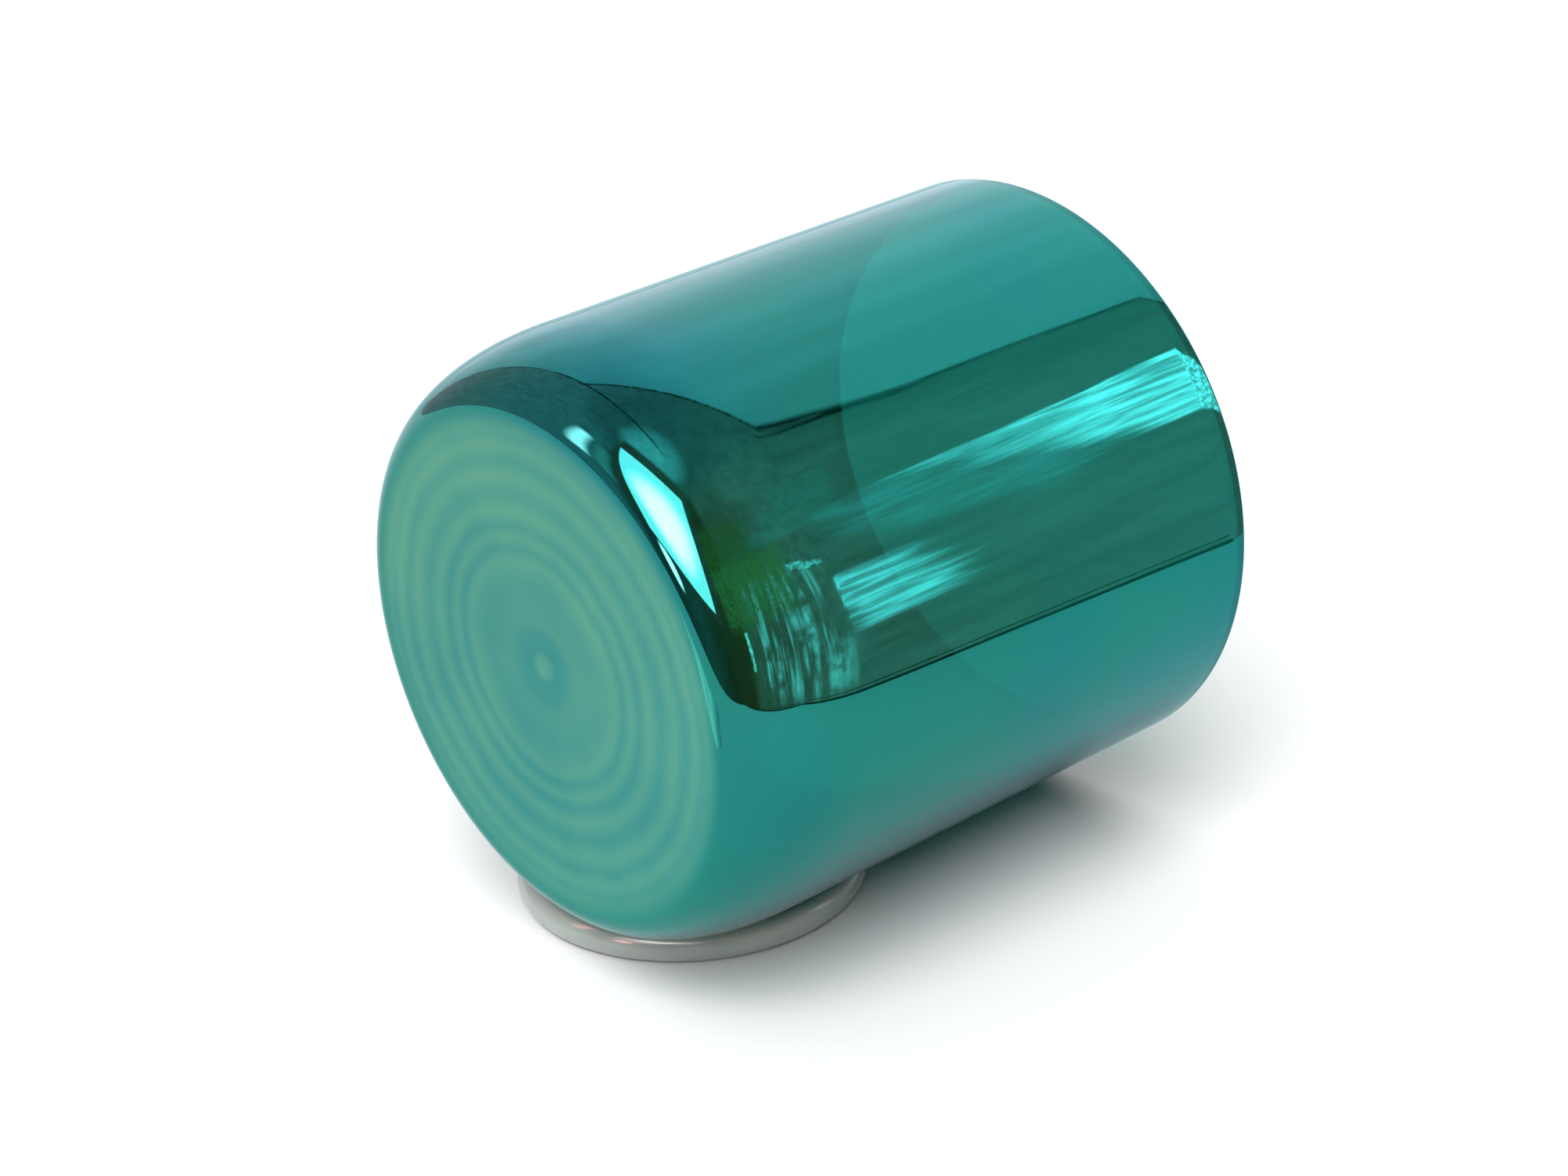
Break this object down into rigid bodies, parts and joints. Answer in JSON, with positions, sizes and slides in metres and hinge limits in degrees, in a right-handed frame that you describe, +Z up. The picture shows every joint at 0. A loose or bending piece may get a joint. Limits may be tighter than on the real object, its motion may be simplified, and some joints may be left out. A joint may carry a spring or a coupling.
{
  "type": "crystal singing bowl",
  "caption": "Straight-sided crystal singing bowl with a mirror-coated outside and a rounded closed base, lying on its side on a soft translucent support ring.",
  "frame": {"origin": "under the middle of the whole object's box, on the table that the support ring lies on", "axes": "+X along the bowl, from its closed base to its open mouth (the mouth end rises by 1.3 degrees); +Y across the bowl, to the side on which the ring sticks out; +Z up"},
  "size_m": [0.1926, 0.178, 0.1904],
  "materials": {
    "mirror_coated_quartz": "teal metallic vapour coat on quartz, mirror-bright and slightly see-through on the sides and the rounded corner, satin on the flat base",
    "clear_silicone": "milky translucent silicone, smooth satin"
  },
  "bodies": {
    "ring": {"support_ring": "clear_silicone"},
    "bowl": {"quartz_bowl": "mirror_coated_quartz"}
  },
  "joints": [
    {"name": "bowl_lift", "type": "slide", "parent": "ring", "child": "bowl", "axis": [0, 0, 1], "range_m": [0, 0.15]}
  ]
}
